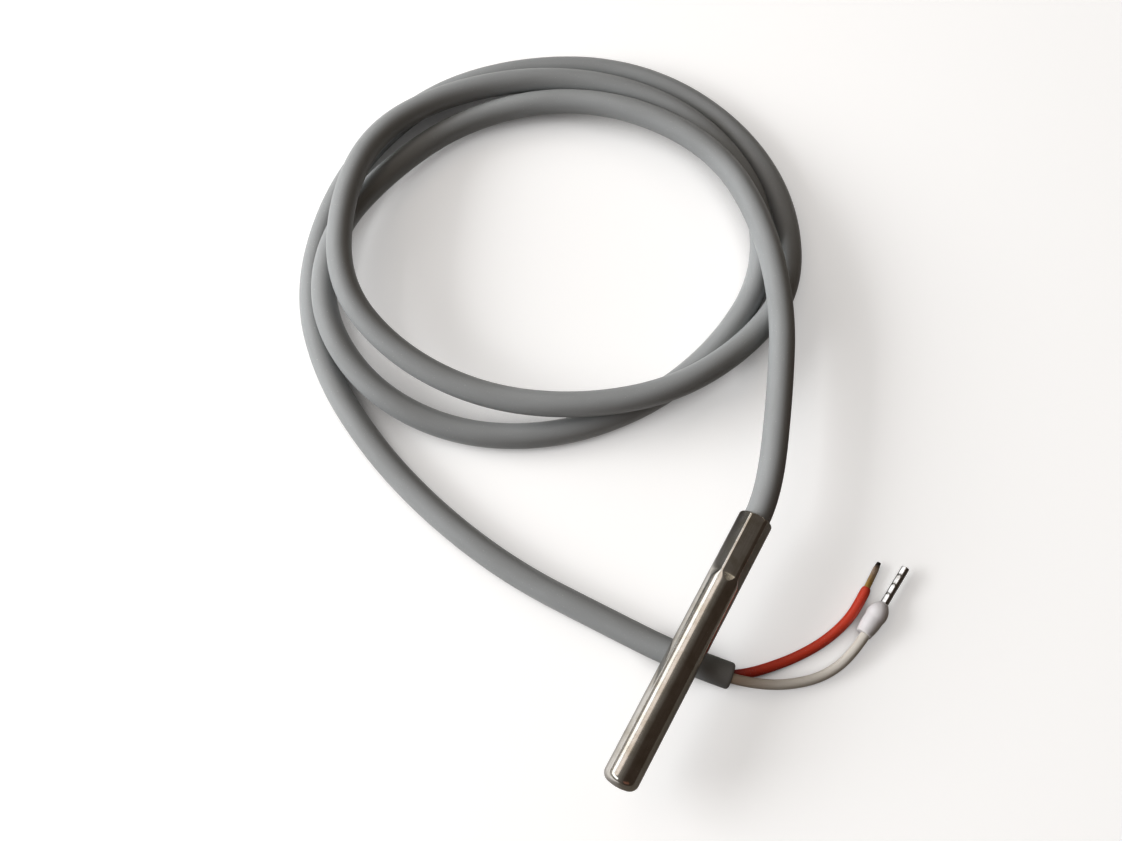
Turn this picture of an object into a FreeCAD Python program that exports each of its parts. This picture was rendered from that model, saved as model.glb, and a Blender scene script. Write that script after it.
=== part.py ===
import FreeCAD, Part
import math
import os

# Cable temperature probe: a closed steel sheath crimped onto a round two-core cable.
# All lengths are in millimetres. The origin is on the sheath's axis, where the round
# wall begins behind the tip. +Y runs back along the sheath to the cable and +Z is up.

# Sheath
sheath_d = 6.0
sheath_length = 50.0
sheath_wall = 0.5
tip_wall = 0.7
tip_corner = 1.6
tip_dome = 7.0
rear_roll = 0.6
rear_roll_in = 0.45

# Crimp that closes the sheath on the cable
crimp_length = 12.85
crimp_sides = 6
crimp_press = 0.3
crimp_ramp = 1.5
crimp_turn = 4.0

# Cable
cable_d = 4.6
grip_length = 12.0
grip_spread = 0.05
core_share = 0.35
core_gap = 0.15
conductor_d = 0.95

# Measuring element
chip_width = 2.0
chip_length = 5.0
chip_thick = 0.65
chip_inset = 1.0
bead_width = 1.8
bead_length = 1.4
bead_thick = 0.55
bead_round = 0.2
lead_d = 0.2
lead_pitch = 0.9

# Joints between the element's leads and the cores, and their insulation
core_inside = 14.0
bare_inside = 3.5
splice_length = 4.0
splice_grip = 2.0
lead_grip = 1.8
splice_play = 0.05
sleeve_share = 0.8
sleeve_gap = 0.5
liner_share = 0.9
liner_wall = 0.3
liner_start = 0.5
liner_gap = 0.5

# Shares of the room between the chip and the joints: where the leads begin to spread,
# where they have reached the cores' places, and how far up the compound stands
spread_from = 0.08
spread_to = 0.22
filling_share = 0.35

# Free end of the cable
pair_turn = 65.0
red_bare = 5.2
red_tip_d = 0.75
red_taper = 1.4

# Wire ferrule on the white core
ferrule_pin_d = 1.3
ferrule_bore = 1.0
ferrule_pin = 7.6
ferrule_root = 3.0
ferrule_root_d = 1.8
ferrule_root_bore = 1.5
collar_length = 6.4
collar_rear_d = 2.75
collar_d = 3.3
collar_wide_at = 3.84
collar_nose_d = 1.9
collar_rear_bow = 0.06
collar_nose_bow = 0.2
collar_play = 0.125
collar_throat = 0.4
collar_core = 2.4
wire_recess = 0.3
notch_count = 4
notch_pitch = 1.85
notch_radius = 0.8
notch_depth = 0.14
notch_first = 1.0
notch_lean = 45.0

# Cable route from the centre of the sheath's rear edge: out of the crimp, three loose
# turns laid down clockwise, and the tail that runs under the sheath to the cut end.
cable_route = [
    (0.0, 0.0, 0.0), (0.0, 5.0, 0.0), (-6.2, 22.0, 0.0), (-13.0, 37.5, 0.2),
    (-24.0, 51.5, 0.0), (-37.8, 61.0, -0.9), (-55.5, 62.4, -1.8), (-71.8, 57.4, -3.6),
    (-85.0, 45.4, -5.1), (-91.5, 29.0, -4.6), (-93.0, 12.0, -2.4), (-86.0, -3.0, -1.6),
    (-71.5, -11.0, -3.6), (-54.5, -10.5, -5.7), (-38.5, -2.5, -6.2), (-26.5, 11.0, -6.2),
    (-20.0, 27.0, -6.2), (-19.0, 44.0, -6.0), (-27.0, 58.0, -4.6), (-42.5, 66.5, -4.2),
    (-59.5, 67.0, -4.0), (-76.0, 60.5, -3.6), (-89.5, 48.0, -2.5), (-96.0, 32.5, 0.4),
    (-93.0, 16.5, 2.4), (-84.5, 2.0, 1.7), (-70.0, -3.5, -1.1), (-53.0, -3.0, -2.3),
    (-37.0, 3.0, -1.5), (-23.5, 13.5, -1.0), (-16.0, 28.0, -3.2), (-13.5, 44.0, -5.8),
    (-21.5, 59.0, -6.2), (-34.5, 68.5, -6.2), (-51.0, 72.5, -6.2), (-67.0, 70.0, -6.2),
    (-82.0, 61.0, -6.2), (-93.0, 48.5, -6.2), (-98.0, 32.5, -6.2), (-97.5, 16.5, -6.2),
    (-91.5, 0.0, -6.2), (-80.0, -11.5, -6.2), (-65.0, -19.5, -6.2), (-49.0, -24.5, -6.2),
    (-32.0, -27.0, -6.2), (-15.0, -26.5, -6.2), (-0.5, -26.0, -6.2), (8.5, -24.5, -6.2),
]

# Routes of the two cores from the centre of the cable's cut end; each one starts at its
# own place in that end and comes down to lie on the table.
red_route = [
    (1.9, 1.7, -1.1), (5.2, 5.0, -1.3), (8.4, 8.8, -1.4), (11.3, 13.4, -1.4),
    (13.2, 18.5, -1.4), (13.6, 22.6, -1.4), (13.6, 25.1, -1.4),
]
white_route = [
    (3.0, 0.3, 0.7), (8.8, 3.3, -0.7), (13.9, 8.0, -1.4), (16.6, 14.0, -0.65),
    (17.0, 19.7, -0.65),
]

# Share of the shorter of two runs that the arc between them takes
arc_share = 0.45

# Room past a face for a cutting solid
over = 1.0

sheath_r = sheath_d / 2
bore_r = sheath_r - sheath_wall
rear_rim_r = sheath_r - rear_roll_in
crimp_flats = sheath_d - 2 * crimp_press
core_d = 2 * bore_r * core_share
sleeve_bore = core_d * sleeve_share
splice_d = sleeve_bore - splice_play
liner_d = 2 * bore_r * liner_share
dome_drop = math.sqrt((tip_dome - tip_corner) ** 2 - (sheath_r - tip_corner) ** 2)
tip_depth = tip_dome - dome_drop
rear_y = sheath_length - tip_depth
crimp_y = rear_y - crimp_length
grip_y = rear_y - grip_length
core_offset = (core_d + core_gap) / 2
core_end_y = grip_y - core_inside
wire_end_y = core_end_y - bare_inside
splice_y = wire_end_y + splice_grip - splice_length
lead_end_y = splice_y + lead_grip
chip_y = -tip_depth + tip_wall + chip_inset
chip_rear_y = chip_y + chip_length
lead_z = chip_thick / 2 + lead_d / 2 + core_gap / 2
lead_room = splice_y - chip_rear_y
filling_top = chip_rear_y + filling_share * lead_room
sleeve_start = filling_top + sleeve_gap


def vec(x, y, z=0.0):
    return FreeCAD.Vector(x, y, z)


def arc(start, through, end):
    return Part.Arc(start, through, end).toShape()


def bowed(start, end, rise):
    """Arc in the XY plane whose middle stands to the right of the line from start to end."""
    chord = end - start
    right = vec(chord.y, -chord.x).normalize()
    return arc(start, (start + end) / 2 + right * rise, end)


def revolved(edges):
    """Solid of a closed profile in the XY plane, turned about the Y axis."""
    face = Part.Face(Part.Wire(edges))
    return face.revolve(vec(0, 0), vec(0, 1), 360)


def lathe(points):
    """Solid turned about the Y axis from a polygon of (radius, y) points."""
    corners = [vec(r, y) for r, y in points]
    return revolved(Part.makePolygon(corners + corners[:1]).Edges)


def rod(diameter, y_from, y_to, x=0.0, z=0.0):
    return Part.makeCylinder(diameter / 2, y_to - y_from, vec(x, y_from, z), vec(0, 1))


def pipe(outer_d, inner_d, y_from, y_to, x=0.0):
    bore = rod(inner_d, y_from - over, y_to + over, x)
    return rod(outer_d, y_from, y_to, x).cut(bore)


def rounded_stick(radius, corner, dome, y_from, y_to):
    """Turned solid with a shallow dome and a round corner at its front end."""
    drop = math.sqrt((dome - corner) ** 2 - (radius - corner) ** 2)
    middle = vec(0, y_from + drop)
    corner_middle = vec(radius - corner, y_from)
    lean = math.atan2(radius - corner, drop)
    join = middle + vec(math.sin(lean), -math.cos(lean)) * dome
    half = lean / 2
    on_dome = middle + vec(math.sin(half), -math.cos(half)) * dome
    swing = (math.pi / 2 + lean) / 2
    on_corner = corner_middle + vec(math.sin(swing), -math.cos(swing)) * corner
    tip = vec(0, y_from + drop - dome)
    wall = vec(radius, y_from)
    rim = vec(radius, y_to)
    top = vec(0, y_to)
    edges = [
        arc(tip, on_dome, join),
        arc(join, on_corner, wall),
        Part.makeLine(wall, rim),
        Part.makeLine(rim, top),
        Part.makeLine(top, tip),
    ]
    return revolved(edges)


def crimp_prism(across_flats, y_from, y_to):
    """Prism with the crimp's flats, one for each jaw of the crimping tool."""
    corner_r = across_flats / 2 / math.cos(math.pi / crimp_sides)
    corners = []
    for side in range(crimp_sides + 1):
        angle = math.radians(crimp_turn) + (2 * side + 1) * math.pi / crimp_sides
        corners.append(vec(corner_r * math.sin(angle), y_from, corner_r * math.cos(angle)))
    face = Part.Face(Part.makePolygon(corners))
    return face.extrude(vec(0, y_to - y_from))


def crimp_jaw(side):
    """What one jaw presses away: a flat that begins with a short ramp."""
    flat_r = crimp_flats / 2
    press = sheath_r - flat_r
    ramp_foot = vec(0, crimp_y + crimp_ramp, flat_r)
    ramp_head = vec(0, crimp_y - crimp_ramp, sheath_r + press)
    profile = Part.makePolygon([
        ramp_foot,
        vec(0, rear_y + over, flat_r),
        vec(0, rear_y + over, sheath_r + press),
        ramp_head,
        ramp_foot,
    ])
    jaw = Part.Face(profile).extrude(vec(sheath_d, 0))
    jaw.translate(vec(-sheath_r, 0))
    jaw.rotate(vec(0, 0), vec(0, 1), crimp_turn + side * 360 / crimp_sides)
    return jaw


def sheath():
    tube = rounded_stick(sheath_r, tip_corner, tip_dome, 0, rear_y)
    for side in range(crimp_sides):
        tube = tube.cut(crimp_jaw(side))
    outside_rim = lathe([
        (rear_rim_r, rear_y), (sheath_r, rear_y - rear_roll),
        (sheath_r + over, rear_y - rear_roll), (sheath_r + over, rear_y),
    ])
    return tube.cut(outside_rim).cut(sheath_bore()).cut(gripped(crimp_y, rear_y))


def sheath_bore():
    """Round bore with the same corner centre as the tip's outside."""
    inner_dome = tip_dome - tip_wall
    return rounded_stick(bore_r, tip_corner - sheath_wall, inner_dome, 0, crimp_y)


def gripped(y_from, y_to):
    """Form that the jacket takes where the flats press on it."""
    prism = crimp_prism(crimp_flats - 2 * sheath_wall, y_from, y_to)
    return prism.common(rod(cable_d + 2 * grip_spread, y_from, y_to))


def route_path(points):
    """Straight runs joined by tangent arcs, and the arcs' radii."""
    edges = []
    radii = []
    here = points[0]
    for before, corner, after in zip(points, points[1:], points[2:]):
        run_in = corner - before
        run_out = after - corner
        half = run_in.getAngle(run_out) / 2
        trim = arc_share * min(run_in.Length, run_out.Length)
        radius = trim / math.tan(half)
        into = corner - FreeCAD.Vector(run_in).normalize() * trim
        out = corner + FreeCAD.Vector(run_out).normalize() * trim
        inward = ((into + out) / 2 - corner).normalize()
        through = corner + inward * (radius / math.cos(half) - radius)
        edges.append(Part.LineSegment(here, into).toShape())
        edges.append(Part.Arc(into, through, out).toShape())
        radii.append(radius)
        here = out
    edges.append(Part.LineSegment(here, points[-1]).toShape())
    return Part.Wire(edges), radii


def tube(name, points, diameter):
    """Round cord along a route; prints how it compares with section times length."""
    path, radii = route_path(points)
    along = points[1] - points[0]
    ring = Part.Wire([Part.Circle(points[0], along, diameter / 2).toShape()])
    solid = path.makePipeShell([ring], True, False)
    ideal = math.pi * diameter ** 2 / 4 * path.Length
    print(name, "length", round(path.Length, 1), "volume ratio", round(solid.Volume / ideal, 4))
    print(name, "radii", [round(radius, 1) for radius in radii])
    return solid


def placed(points, start):
    return [start + vec(*point) for point in points]


def cable_points():
    return placed(cable_route, vec(0, rear_y))


def cut_end():
    """Centre of the cable's cut end and the direction it faces."""
    points = cable_points()
    return points[-1], (points[-1] - points[-2]).normalize()


def core_seat(side):
    """Where a core comes out of the cut end; the pair lies turned in the cable."""
    centre, along = cut_end()
    across = vec(-along.y, along.x)
    turn = math.radians(pair_turn)
    offset = across * math.cos(turn) - vec(0, 0, 1) * math.sin(turn)
    return centre + offset * (side * core_offset)


def core_points(route, side):
    centre = cut_end()[0]
    return [core_seat(side)] + placed(route, centre)


def cable_jacket():
    free = tube("cable_jacket", cable_points(), cable_d)
    return free.fuse(gripped(grip_y, rear_y)).removeSplitter()


def outer_core(name, route, side, jacket):
    """Insulated core whose foot is cut to meet the jacket's end face."""
    points = core_points(route, side)
    foot = points[0] - (points[1] - points[0]).normalize() * (core_d / 2)
    return tube(name, [foot] + points[1:], core_d).cut(jacket)


def red_wire():
    """Bare twisted end of the red core, drawn in at its tip."""
    points = core_points(red_route, 1)
    wire = lathe([
        (0, 0), (conductor_d / 2, 0), (conductor_d / 2, red_bare - red_taper),
        (red_tip_d / 2, red_bare), (0, red_bare),
    ])
    return aimed(wire, points[-2], points[-1])


def aimed(solid, before, end):
    """Turns a solid made along +Y into a level cord's last direction, at its end."""
    along = end - before
    heading = math.degrees(math.atan2(-along.x, along.y))
    solid.Placement = FreeCAD.Placement(end, FreeCAD.Rotation(vec(0, 0, 1), heading))
    return solid


def on_white_end(solid):
    points = core_points(white_route, -1)
    return aimed(solid, points[-2], points[-1])


def ferrule_collar():
    """Moulded collar: its widest ring is past the middle, and its nose closes in."""
    rear = -collar_core
    front = rear + collar_length
    seat = front - ferrule_root
    hole = core_d / 2 + collar_play
    rim = vec(collar_rear_d / 2, rear)
    wide = vec(collar_d / 2, rear + collar_wide_at)
    nose = vec(collar_nose_d / 2, front)
    corners = [
        nose, vec(ferrule_pin_d / 2, front), vec(ferrule_root_d / 2, seat),
        vec(hole, seat - collar_throat), vec(hole, rear), rim,
    ]
    edges = [bowed(rim, wide, collar_rear_bow), bowed(wide, nose, collar_nose_bow)]
    edges += Part.makePolygon(corners).Edges
    return on_white_end(revolved(edges))


def ferrule_front():
    return collar_length - collar_core


def ferrule_tube():
    """Tinned tube with a flared root in the collar and the tool's marks on one side."""
    front = ferrule_front()
    seat = front - ferrule_root
    mouth = front + ferrule_pin
    shell = lathe([
        (ferrule_bore / 2, mouth), (ferrule_pin_d / 2, mouth), (ferrule_pin_d / 2, front),
        (ferrule_root_d / 2, seat), (ferrule_root_bore / 2, seat), (ferrule_bore / 2, front),
    ])
    lean = math.radians(notch_lean)
    up = vec(-math.sin(lean), 0, math.cos(lean))
    side = vec(math.cos(lean), 0, math.sin(lean))
    middle = up * (ferrule_pin_d / 2 + notch_radius - notch_depth)
    edge = middle - side * (ferrule_pin_d / 2)
    for index in range(notch_count):
        start = edge + vec(0, front + notch_first + index * notch_pitch)
        shell = shell.cut(Part.makeCylinder(notch_radius, ferrule_pin_d, start, side))
    return on_white_end(shell)


def ferrule_wire():
    """Bare strands of the white core, inside the ferrule to just short of its mouth."""
    return on_white_end(rod(conductor_d, 0, ferrule_front() + ferrule_pin - wire_recess))


def inner_core(side):
    return rod(core_d, core_end_y, grip_y, side * core_offset)


def inner_wire(side):
    return rod(conductor_d, wire_end_y, core_end_y, side * core_offset)


def splice(side):
    """Sleeve crimped on a lead at one end and on a core's strands at the other."""
    body = rod(splice_d, splice_y, splice_y + splice_length, side * core_offset)
    wire_room = rod(conductor_d, wire_end_y, splice_y + splice_length + over, side * core_offset)
    lead_room = rod(lead_d, splice_y - over, lead_end_y, side * core_offset)
    return body.cut(wire_room).cut(lead_room)


def splice_sleeve(side):
    return pipe(core_d, sleeve_bore, sleeve_start, core_end_y, side * core_offset)


def lead(name, side):
    """Element lead: straight out of the bead, spread to its core's place, then straight."""
    x_in = side * lead_pitch / 2
    x_out = side * core_offset
    points = [
        vec(x_in, chip_rear_y, lead_z),
        vec(x_in, chip_rear_y + spread_from * lead_room, lead_z),
        vec(x_out, chip_rear_y + spread_to * lead_room),
        vec(x_out, lead_end_y),
    ]
    return tube(name, points, lead_d)


def element_chip():
    corner = vec(-chip_width / 2, chip_y, -chip_thick / 2)
    return Part.makeBox(chip_width, chip_length, chip_thick, corner)


def element_bead():
    """Glass drop over the ends of the two leads."""
    corner = vec(-bead_width / 2, chip_rear_y - bead_length, chip_thick / 2)
    block = Part.makeBox(bead_width, bead_length, bead_thick, corner)
    top = chip_thick / 2 + bead_thick
    rim = [edge for edge in block.Edges if edge.BoundBox.ZMin > top - bead_round / 2]
    return block.makeFillet(bead_round, rim)


def liner():
    return pipe(liner_d, liner_d - 2 * liner_wall, liner_start, crimp_y - liner_gap)


def filling(pieces):
    """Heat-conducting compound in the tip, round everything that stands in it."""
    inner_dome = tip_dome - tip_wall
    body = rounded_stick(bore_r, tip_corner - sheath_wall, inner_dome, 0, filling_top)
    for piece in pieces:
        body = body.cut(piece)
    return body


def build():
    """Every piece of the probe by name."""
    nodes = {"sheath": sheath(), "cable_jacket": cable_jacket()}
    jacket = nodes["cable_jacket"]
    nodes["red_core"] = outer_core("red_core", red_route, 1, jacket)
    nodes["white_core"] = outer_core("white_core", white_route, -1, jacket)
    nodes["red_wire_end"] = red_wire()
    nodes["ferrule_collar"] = ferrule_collar()
    nodes["ferrule_tube"] = ferrule_tube()
    nodes["ferrule_wire"] = ferrule_wire()
    for colour, side in (("red", -1), ("white", 1)):
        nodes[colour + "_core_inside"] = inner_core(side)
        nodes[colour + "_wire_inside"] = inner_wire(side)
        nodes[colour + "_splice"] = splice(side)
        nodes[colour + "_splice_sleeve"] = splice_sleeve(side)
        nodes[colour + "_lead"] = lead(colour + "_lead", side)
    nodes["element_chip"] = element_chip()
    nodes["element_bead"] = element_bead()
    nodes["liner_tube"] = liner()
    inner = ["element_chip", "element_bead", "red_lead", "white_lead", "liner_tube"]
    nodes["tip_filling"] = filling([nodes[name] for name in inner])
    return nodes


os.makedirs("parts", exist_ok=True)
for node, shape in build().items():
    shape.exportStep("parts/" + node + ".step")
    print(node, "valid", shape.isValid(), "solids", len(shape.Solids), "volume", round(shape.Volume, 3))
ferrule_points = core_points(white_route, -1)
print("ferrule end of core", ferrule_points[-1], "after", ferrule_points[-2])
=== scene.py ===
"""Cable temperature probe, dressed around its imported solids.

The frame of solids is loaded first. The camera and the cable come next, then its two
cores, the bare wire, the ferrule, the crimped steel sheath, the pieces inside and the
studio. All lengths are in metres; sizes that read better in millimetres carry MM.
"""

import logging
import math
from dataclasses import dataclass, replace
from enum import Enum

import bmesh
import bpy
import numpy as np
from mathutils import Matrix, Vector

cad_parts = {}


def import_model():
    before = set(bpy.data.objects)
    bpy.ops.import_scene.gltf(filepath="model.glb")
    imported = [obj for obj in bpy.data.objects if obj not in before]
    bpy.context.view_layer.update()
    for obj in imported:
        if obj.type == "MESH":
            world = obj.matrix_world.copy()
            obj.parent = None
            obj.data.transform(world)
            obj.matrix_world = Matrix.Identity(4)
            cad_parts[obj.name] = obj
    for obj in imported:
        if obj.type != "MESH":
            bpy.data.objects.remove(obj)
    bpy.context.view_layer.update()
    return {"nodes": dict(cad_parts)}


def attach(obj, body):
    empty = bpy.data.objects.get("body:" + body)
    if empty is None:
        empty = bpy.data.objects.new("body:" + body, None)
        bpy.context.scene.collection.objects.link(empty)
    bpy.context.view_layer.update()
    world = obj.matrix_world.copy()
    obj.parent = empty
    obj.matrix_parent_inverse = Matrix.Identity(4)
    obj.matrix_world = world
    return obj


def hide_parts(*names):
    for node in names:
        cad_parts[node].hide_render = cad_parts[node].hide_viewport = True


log = logging.getLogger("temperature_probe")

MM = 0.001
FULL_TURN = 2.0 * math.pi
STRAIGHT = "straight"

Pair = tuple[float, float]
Place = tuple[float, float, float]
Colour = tuple[float, float, float]
Array = np.ndarray
End = tuple[Array, Array]  # A point and the direction in which it is reached.
Piece = bpy.types.Object
Socket = bpy.types.NodeSocket

ORIGIN: Place = (0.0, 0.0, 0.0)
UP: Place = (0.0, 0.0, 1.0)
BACK: Place = (0.0, 1.0, 0.0)
WHITE: Colour = (1.0, 1.0, 1.0)

SHEATH_LENGTH = 50.0 * MM
TIP_DEPTH = 1.7846 * MM
REAR_Y = SHEATH_LENGTH - TIP_DEPTH
TABLE_Z = -8.5 * MM

# How the splines are read, and what counts as one point or as no length.
SPLINE_STEPS = 24
SPLINE_ORDER = 3
REPEATED = 1e-6
SAME_PLACE = 1e-8
NO_LENGTH = 1e-9

# How many times its radius a tube's flats stand off where there are none.
NO_FLAT = 10.0

# Control points of the cable's smooth line, from the centre of the sheath's rear edge.
CABLE_ROUTE = [
    (0, 0, 0), (0, 5, 0), (-6.2, 22, 0), (-13, 37.5, 0.2),
    (-24, 51.5, 0), (-37.8, 61, -0.9), (-55.5, 62.4, -1.8), (-71.8, 57.4, -3.6),
    (-85, 45.4, -5.1), (-91.5, 29, -4.6), (-93, 12, -2.4), (-86, -3, -1.6),
    (-71.5, -11, -3.6), (-54.5, -10.5, -5.7), (-38.5, -2.5, -6.2), (-26.5, 11, -6.2),
    (-20, 27, -6.2), (-19, 44, -6), (-27, 58, -4.6), (-42.5, 66.5, -4.2),
    (-59.5, 67, -4), (-76, 60.5, -3.6), (-89.5, 48, -2.5), (-96, 32.5, 0.4),
    (-93, 16.5, 2.4), (-84.5, 2, 1.7), (-70, -3.5, -1.1), (-53, -3, -2.3),
    (-37, 3, -1.5), (-23.5, 13.5, -1), (-16, 28, -3.2), (-13.5, 44, -5.8),
    (-21.5, 59, -6.2), (-34.5, 68.5, -6.2), (-51, 72.5, -6.2), (-67, 70, -6.2),
    (-82, 61, -6.2), (-93, 48.5, -6.2), (-98, 32.5, -6.2), (-97.5, 16.5, -6.2),
    (-91.5, 0, -6.2), (-80, -11.5, -6.2), (-65, -19.5, -6.2), (-49, -24.5, -6.2),
    (-32, -27, -6.2), (-15, -26.5, -6.2), (-0.5, -26, -6.2), (8.5, -24.5, -6.2),
]

# Control points of the two cores, from the centre of the cable's cut end.
RED_ROUTE = [
    (1.9, 1.7, -1.1), (5.2, 5, -1.3), (8.4, 8.8, -1.4), (11.3, 13.4, -1.4),
    (13.2, 18.5, -1.4), (13.6, 22.6, -1.4), (13.6, 25.1, -1.4),
]
WHITE_ROUTE = [
    (3, 0.3, 0.7), (8.8, 3.3, -0.7), (13.9, 8, -1.4), (16.4, 14, -0.65),
    (16.9, 19.7, -0.65),
]


# Surfaces


@dataclass(frozen=True)
class Line:
    """Points of a centreline with the up and side directions of each point's section."""

    points: Array
    ahead: Array
    up: Array
    side: Array
    along: Array

    @staticmethod
    def through(points: Array) -> "Line":
        """Works out the directions of a centreline that is nowhere upright.

        Ahead is the unit difference of the neighbouring points, side is ahead x Z and
        up is side x ahead. Along is the running length.

        Args:
            points: Array of n points, 3 columns.

        Returns:
            The line with one frame for each point.
        """
        ahead = np.gradient(points, axis=0)
        ahead /= np.linalg.norm(ahead, axis=1)[:, None]
        side = np.cross(ahead, UP)
        side /= np.linalg.norm(side, axis=1)[:, None]
        steps = np.linalg.norm(np.diff(points, axis=0), axis=1)
        along = np.concatenate(([0.0], np.cumsum(steps)))
        return Line(points, ahead, np.cross(side, ahead), side, along)

    @staticmethod
    def straight(end: End, stations: Array) -> "Line":
        """A straight line whose rows may stand anywhere along it, also back and forth.

        Args:
            end: Its zero point and its direction.
            stations: Distance of each row from the zero point.

        Returns:
            The line with the same frame in each row.
        """
        start, ahead = (np.asarray(part, float) for part in end)
        ahead = ahead / np.linalg.norm(ahead)
        side = np.cross(ahead, UP)
        side /= np.linalg.norm(side)
        rows = np.ones((len(stations), 1))
        points = start + stations[:, None] * ahead
        return Line(points, rows * ahead, rows * np.cross(side, ahead), rows * side, stations)

    def capped(self, opening: int, rows: int, ends: Array) -> "Line":
        """Rows for a tube that closes at both ends.

        Args:
            opening: How many times the first row comes before the others.
            rows: How many of the others stay.
            ends: How far past the last row each row of the far end stands.

        Returns:
            The first row repeated, the others, and the last row repeated and moved.
        """
        far = np.full(len(ends), len(self.points) - 1)
        keep = np.concatenate([np.zeros(opening, int), np.arange(rows), far])
        line = Line(*(field[keep] for field in vars(self).values()))
        line.points[-len(ends):] += ends[:, None] * line.ahead[-1]
        return line

    def swept(self, radii: Array, angles: Array) -> tuple[Array, Array]:
        """Grid of points round the line.

        Point (i, j) = points[i] + radii[i, j] (cos angles[j] up[i] + sin angles[j] side[i]).
        With the line laid straight it is at (r sin a, r cos a, along).

        Args:
            radii: Rows x columns, or rows x 1 for round sections.
            angles: One angle for each column, from up towards side.

        Returns:
            The points and their places with the line laid straight, rows x columns x 3.
        """
        spoke = np.cos(angles)[None, :, None] * self.up[:, None, :]
        spoke = spoke + np.sin(angles)[None, :, None] * self.side[:, None, :]
        flat = np.broadcast_to(radii, (len(self.points), len(angles)))
        along = np.broadcast_to(self.along[:, None], flat.shape)
        straight = np.stack([flat * np.sin(angles), flat * np.cos(angles), along], axis=-1)
        return self.points[:, None, :] + flat[:, :, None] * spoke, straight


def ring(columns: int) -> Array:
    """Evenly spaced angles of a closed ring."""
    return np.arange(columns) * FULL_TURN / columns


def grid_faces(rows: int, columns: int, first: int) -> Array:
    """Quads of a grid whose last column joins its first.

    Face (i, j) is (i, j), (i, j+1), (i+1, j+1), (i+1, j), which faces away from the line
    where the rows run ahead and the columns run from up to side.

    Args:
        rows: Rows of the grid.
        columns: Columns of the grid.
        first: Index of the grid's first vertex.

    Returns:
        One row of four vertex indices for each face.
    """
    i, j = np.meshgrid(np.arange(rows - 1), np.arange(columns), indexing="ij")
    k = (j + 1) % columns
    here, ahead = i * columns, (i + 1) * columns
    return first + np.stack([here + j, here + k, ahead + k, ahead + j], -1).reshape(-1, 4)


def close_poles(mesh: bpy.types.Mesh) -> None:
    """Merges vertices that lie on each other and drops faces that have no area.

    Args:
        mesh: The mesh to change.
    """
    work = bmesh.new()
    work.from_mesh(mesh)
    bmesh.ops.remove_doubles(work, verts=work.verts, dist=SAME_PLACE)
    bmesh.ops.dissolve_degenerate(work, edges=work.edges, dist=NO_LENGTH)
    work.to_mesh(mesh)
    work.free()


def linked(name: str, data: bpy.types.ID) -> Piece:
    """Makes an object of the data at the origin and links it to the scene."""
    made = bpy.data.objects.new(name, data)
    bpy.context.scene.collection.objects.link(made)
    return made


def skin(name: str, grids: list[tuple[Line, Array]], angles: Array) -> Piece:
    """Makes one piece of closed surfaces round lines, from whole arrays.

    Each vertex also holds its place on the straightened piece, for the patterns.

    Args:
        name: Name of the piece.
        grids: Each surface's line, and its radii as rows x columns or rows x 1.
        angles: One angle for each column, from up towards side.

    Returns:
        The piece.
    """
    points, straight, faces, first = [], [], [], 0
    for line, radii in grids:
        for rows, grid in zip((points, straight), line.swept(radii, angles)):
            rows.append(grid.reshape(-1, 3))
        faces.append(grid_faces(len(line.points), len(angles), first))
        first += len(points[-1])
    points, straight, faces = (np.concatenate(rows) for rows in (points, straight, faces))
    mesh = bpy.data.meshes.new(name)
    mesh.vertices.add(len(points))
    mesh.vertices.foreach_set("co", points.astype(np.float32).ravel())
    mesh.loops.add(faces.size)
    mesh.loops.foreach_set("vertex_index", faces.astype(np.int32).ravel())
    mesh.polygons.add(len(faces))
    mesh.polygons.foreach_set("loop_start", np.arange(0, faces.size, 4, dtype=np.int32))
    mesh.update(calc_edges=True)
    attribute = mesh.attributes.new(STRAIGHT, "FLOAT_VECTOR", "POINT")
    attribute.data.foreach_set("vector", straight.astype(np.float32).ravel())
    close_poles(mesh)
    mesh.polygons.foreach_set("use_smooth", np.ones(len(mesh.polygons), dtype=bool))
    return linked(name, mesh)


def bow(start: Pair, end: Pair, rise: float, count: int) -> Array:
    """Shallow arc of (radius, station) points: the chord plus 4 t (1 - t) rise, outwards.

    Args:
        start: First point.
        end: Last point.
        rise: How far the middle stands out from the chord.
        count: Number of points.

    Returns:
        The points as rows.
    """
    t = np.linspace(0.0, 1.0, count)[:, None]
    a, b = np.asarray(start), np.asarray(end)
    chord = b - a
    outward = np.array([chord[1], -chord[0]]) / np.linalg.norm(chord)
    return a + chord * t + outward * (4.0 * t * (1.0 - t) * rise)


def quarter(centre: Pair, radius: float, start: float, end: float, count: int) -> Array:
    """Arc of (radius, station) points: centre + radius (sin a, -cos a), a in degrees."""
    a = np.radians(np.linspace(start, end, count))
    return np.asarray(centre) + radius * np.stack([np.sin(a), -np.cos(a)], axis=-1)


def soft_least(first: Array, second: Array, width: float | Array) -> Array:
    """The smaller of two arrays with a round edge of about the given width.

    least = (a + b - sqrt((a - b)^2 + width^2)) / 2, which is the plain one far from a = b.
    """
    return (first + second - np.sqrt((first - second) ** 2 + width**2)) / 2


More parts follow.
